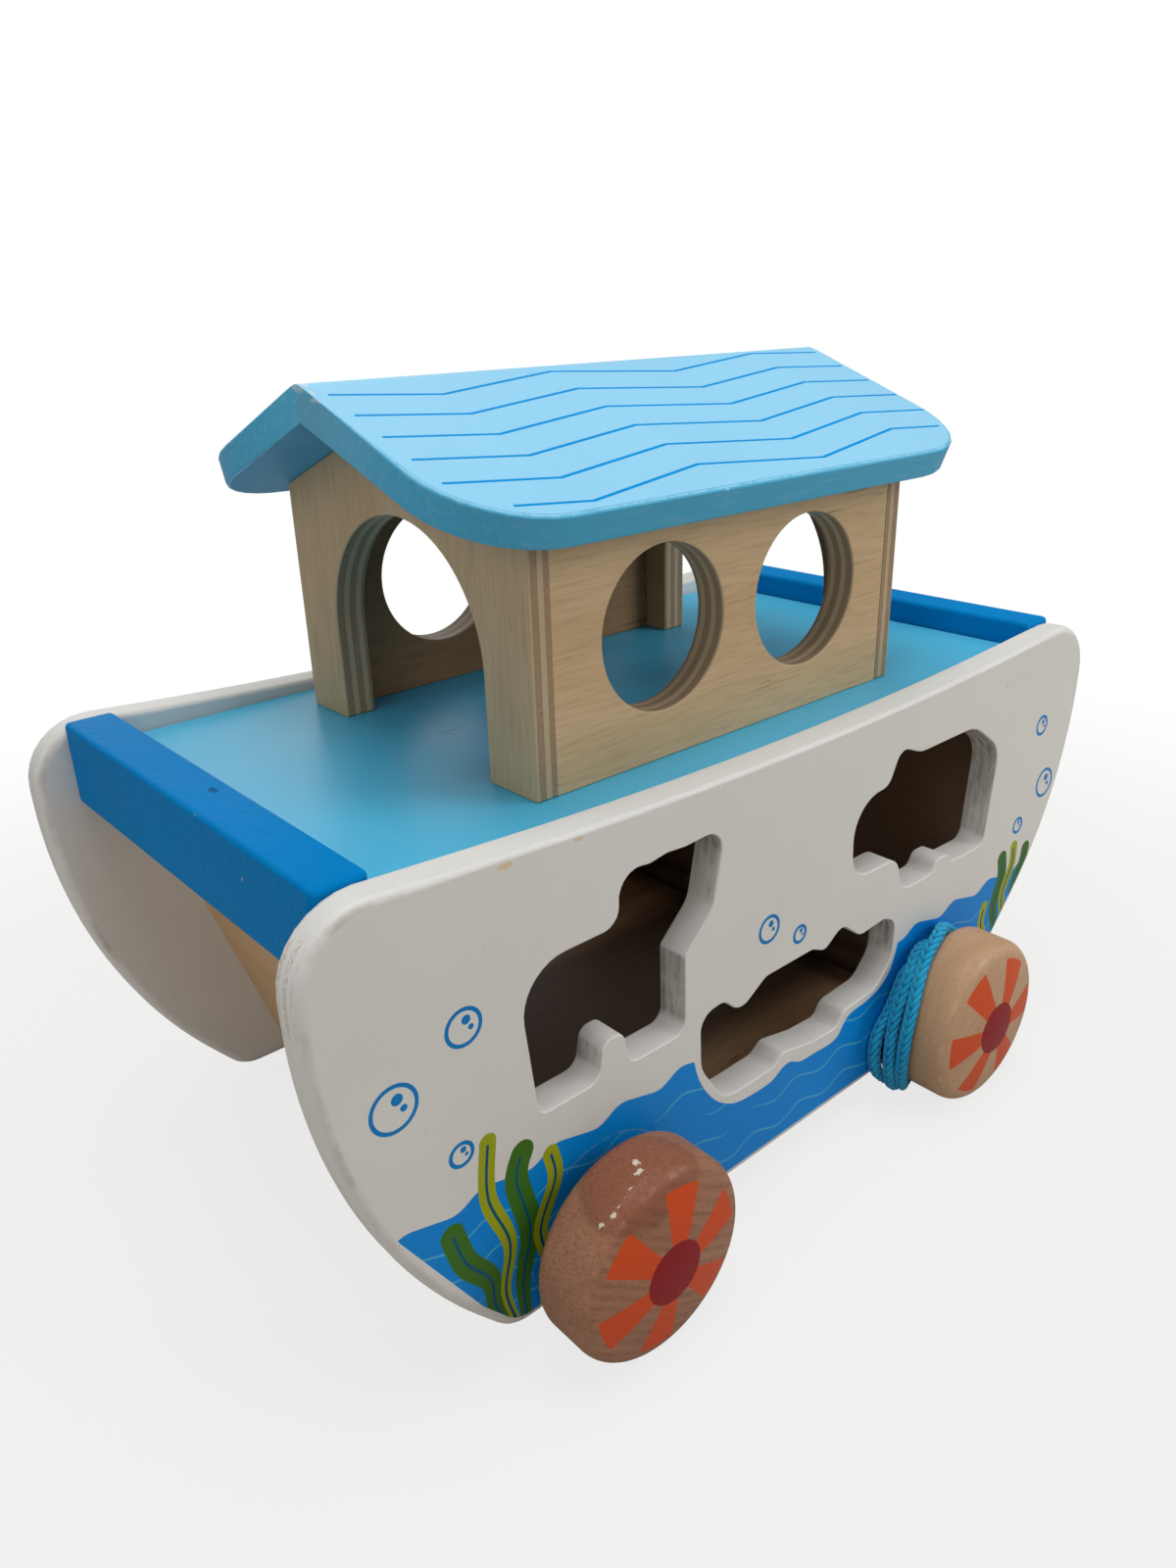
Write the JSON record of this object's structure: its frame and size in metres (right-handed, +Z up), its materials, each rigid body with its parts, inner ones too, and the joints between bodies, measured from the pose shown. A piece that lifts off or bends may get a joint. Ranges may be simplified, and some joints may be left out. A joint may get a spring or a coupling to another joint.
{
  "type": "pull-along toy ark",
  "caption": "Wooden pull-along ark on wheels with animal-shaped cut-outs in both sides, a lift-off deck carrying an open gabled house, and a pull cord wound by a front wheel.",
  "frame": {"origin": "middle of the ark on the floor that its wheels stand on", "axes": "+X towards the bow, +Y towards the far side, +Z up"},
  "size_m": [0.288, 0.1992, 0.2202],
  "materials": {
    "white_paint": "white painted plywood with a sea print",
    "blue_paint": "satin blue paint on wood",
    "pale_blue_paint": "satin pale blue paint on plywood",
    "bare_ply": "clear-coated plywood with visible layers",
    "inner_ply": "plain plywood",
    "turned_wood": "turned wood with painted rays",
    "dowel_wood": "plain dowel",
    "steel": "plated screw",
    "cord": "braided turquoise cord"
  },
  "bodies": {
    "hull": {"side_panel_near": "white_paint", "side_panel_far": "white_paint", "crossbar_bow": "blue_paint", "crossbar_stern": "blue_paint", "end_panel_bow": "inner_ply", "end_panel_stern": "inner_ply", "hull_floor": "inner_ply", "crossbar_dowels": "dowel_wood", "end_panel_dowels": "dowel_wood", "floor_dowels": "dowel_wood", "cord_lead": "cord", "cord_winding": "cord", "cord_knot": "cord", "cord_end_knot": "cord"},
    "front_wheelset": {"front_axle": "dowel_wood", "front_wheel_near": "turned_wood", "front_wheel_far": "turned_wood"},
    "rear_wheelset": {"rear_axle": "dowel_wood", "rear_wheel_near": "turned_wood", "rear_wheel_far": "turned_wood"},
    "deckhouse": {"deck": "pale_blue_paint", "gable_bow": "bare_ply", "gable_stern": "bare_ply", "house_wall_near": "bare_ply", "house_wall_far": "bare_ply", "roof_near": "pale_blue_paint", "roof_far": "pale_blue_paint", "house_dowels": "dowel_wood", "roof_pins": "dowel_wood", "deck_screws": "steel"}
  },
  "joints": [
    {"name": "front_wheels_roll", "type": "hinge", "parent": "hull", "child": "front_wheelset", "pos_m": [0.0676, 0, 0.0264], "axis": [0, 1, 0], "continuous": true},
    {"name": "rear_wheels_roll", "type": "hinge", "parent": "hull", "child": "rear_wheelset", "pos_m": [-0.0724, 0, 0.0264], "axis": [0, 1, 0], "continuous": true},
    {"name": "deckhouse_lift", "type": "slide", "parent": "hull", "child": "deckhouse", "axis": [0, 0, 1], "range_m": [0, 0.08]}
  ]
}
